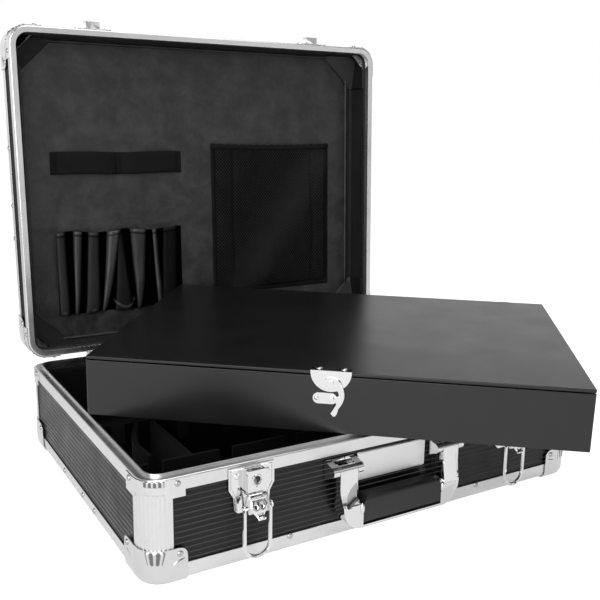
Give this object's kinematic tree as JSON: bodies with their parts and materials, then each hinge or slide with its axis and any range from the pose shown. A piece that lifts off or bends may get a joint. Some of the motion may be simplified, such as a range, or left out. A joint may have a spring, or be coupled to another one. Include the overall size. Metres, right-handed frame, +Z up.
{
  "type": "barber case",
  "caption": "Open hard-sided tool case in an aluminium frame with toggle latches, carry handle, divided base, lid pockets and a separate flat inner box lying across its rims.",
  "frame": {"origin": "middle of the base's underside, on the plane that its four corner caps stand on", "axes": "+Z up, +X to the right as the user faces the latches, front towards -Y, lid hinged along +Y"},
  "size_m": [0.5335, 0.5406, 0.458],
  "materials": {
    "frame_aluminium": "satin anodised extrusion",
    "plate_aluminium": "polished bare plate",
    "corner_steel": "bright plated pressed steel",
    "hardware_chrome": "polished plating",
    "ribbed_facing": "black ribbed facing on fibreboard",
    "lining_cloth": "black short-nap cloth over board",
    "lid_lining_vinyl": "black crinkled vinyl cloth over board",
    "pocket_vinyl": "black soft vinyl, stitched",
    "net": "black diamond mesh",
    "grip_plastic": "black moulded, fine grain",
    "box_leatherette": "black fine-grain leatherette over board",
    "box_hinge_steel": "dark plated steel"
  },
  "bodies": {
    "base": {"base_rim_frame": "frame_aluminium", "base_edge_frame": "frame_aluminium", "base_front_panel": "ribbed_facing", "base_back_panel": "ribbed_facing", "base_left_panel": "ribbed_facing", "base_right_panel": "ribbed_facing", "base_floor_panel": "ribbed_facing", "base_lining": "lining_cloth", "base_cap_front_left": "corner_steel", "base_cap_front_right": "corner_steel", "base_cap_back_left": "corner_steel", "base_cap_back_right": "corner_steel", "partition_front_row": "lining_cloth", "partition_middle_row": "lining_cloth", "partition_left_bay": "lining_cloth", "partition_centre_bay": "lining_cloth", "partition_right_bay": "lining_cloth", "partition_bent": "lining_cloth", "base_hinge_leaf_left": "hardware_chrome", "base_hinge_leaf_right": "hardware_chrome", "latch_plate_left": "hardware_chrome", "latch_plate_right": "hardware_chrome", "handle_bracket_left": "hardware_chrome", "handle_bracket_right": "hardware_chrome", "name_plate": "plate_aluminium"},
    "lid": {"lid_rim_frame": "frame_aluminium", "lid_edge_frame": "frame_aluminium", "lid_top_panel": "ribbed_facing", "lid_front_panel": "ribbed_facing", "lid_back_panel": "ribbed_facing", "lid_left_panel": "ribbed_facing", "lid_right_panel": "ribbed_facing", "lid_lining": "lid_lining_vinyl", "lid_cap_front_left": "corner_steel", "lid_cap_front_right": "corner_steel", "lid_cap_back_left": "corner_steel", "lid_cap_back_right": "corner_steel", "lid_hinge_leaf_left": "hardware_chrome", "lid_hinge_leaf_right": "hardware_chrome", "latch_keeper_left": "hardware_chrome", "latch_keeper_right": "hardware_chrome", "elastic_strap": "pocket_vinyl", "tool_pocket": "pocket_vinyl", "net_pocket": "net"},
    "left_lever": {"latch_lever_left": "hardware_chrome"},
    "left_bail": {"latch_bail_left": "hardware_chrome"},
    "right_lever": {"latch_lever_right": "hardware_chrome"},
    "right_bail": {"latch_bail_right": "hardware_chrome"},
    "handle": {"handle_strap": "hardware_chrome", "handle_grip": "grip_plastic"},
    "inner_box": {"box_tray": "box_leatherette", "box_hinge_tray_left": "box_hinge_steel", "box_hinge_tray_right": "box_hinge_steel", "box_catch": "hardware_chrome"},
    "inner_box_lid": {"box_lid": "box_leatherette", "box_hinge_lid_left": "box_hinge_steel", "box_hinge_lid_right": "box_hinge_steel", "box_hasp": "hardware_chrome"},
    "inner_box_hook": {"box_hook": "hardware_chrome"}
  },
  "joints": [
    {"name": "lid_hinge", "type": "hinge", "parent": "base", "child": "lid", "pos_m": [0, 0.1816, 0.0893], "axis": [1, 0, 0], "range_deg": [0, 92]},
    {"name": "left_lever_hinge", "type": "hinge", "parent": "base", "child": "left_lever", "pos_m": [-0.1395, -0.1853, 0.062], "axis": [-1, 0, 0], "range_deg": [0, 45]},
    {"name": "left_bail_hinge", "type": "hinge", "parent": "left_lever", "child": "left_bail", "pos_m": [-0.1395, -0.18926, 0.05493], "axis": [-1, 0, 0], "range_deg": [0, 115]},
    {"name": "right_lever_hinge", "type": "hinge", "parent": "base", "child": "right_lever", "pos_m": [0.1395, -0.1853, 0.062], "axis": [-1, 0, 0], "range_deg": [0, 45]},
    {"name": "right_bail_hinge", "type": "hinge", "parent": "right_lever", "child": "right_bail", "pos_m": [0.1395, -0.18926, 0.05493], "axis": [-1, 0, 0], "range_deg": [0, 115]},
    {"name": "handle_hinge", "type": "hinge", "parent": "base", "child": "handle", "pos_m": [0, -0.189, 0.068], "axis": [-1, 0, 0], "range_deg": [0, 95]},
    {"name": "inner_box_slide", "type": "slide", "parent": "base", "child": "inner_box", "axis": [0, -0.9707, 0.2402], "range_m": [0, 0.5]},
    {"name": "inner_box_lid_hinge", "type": "hinge", "parent": "inner_box", "child": "inner_box_lid", "pos_m": [0.13326, 0.07627, 0.1492], "axis": [-0.7848, 0.6196, 0.0153], "range_deg": [0, 85]},
    {"name": "inner_box_hook_hinge", "type": "hinge", "parent": "inner_box_lid", "child": "inner_box_hook", "pos_m": [-0.05732, -0.16482, 0.13704], "axis": [-0.6198, -0.7845, -0.0194], "range_deg": [0, 110]}
  ],
  "couplings": [
    {"joint": "inner_box_slide", "follows": "lid_hinge", "m_per_rad": 0.311}
  ]
}
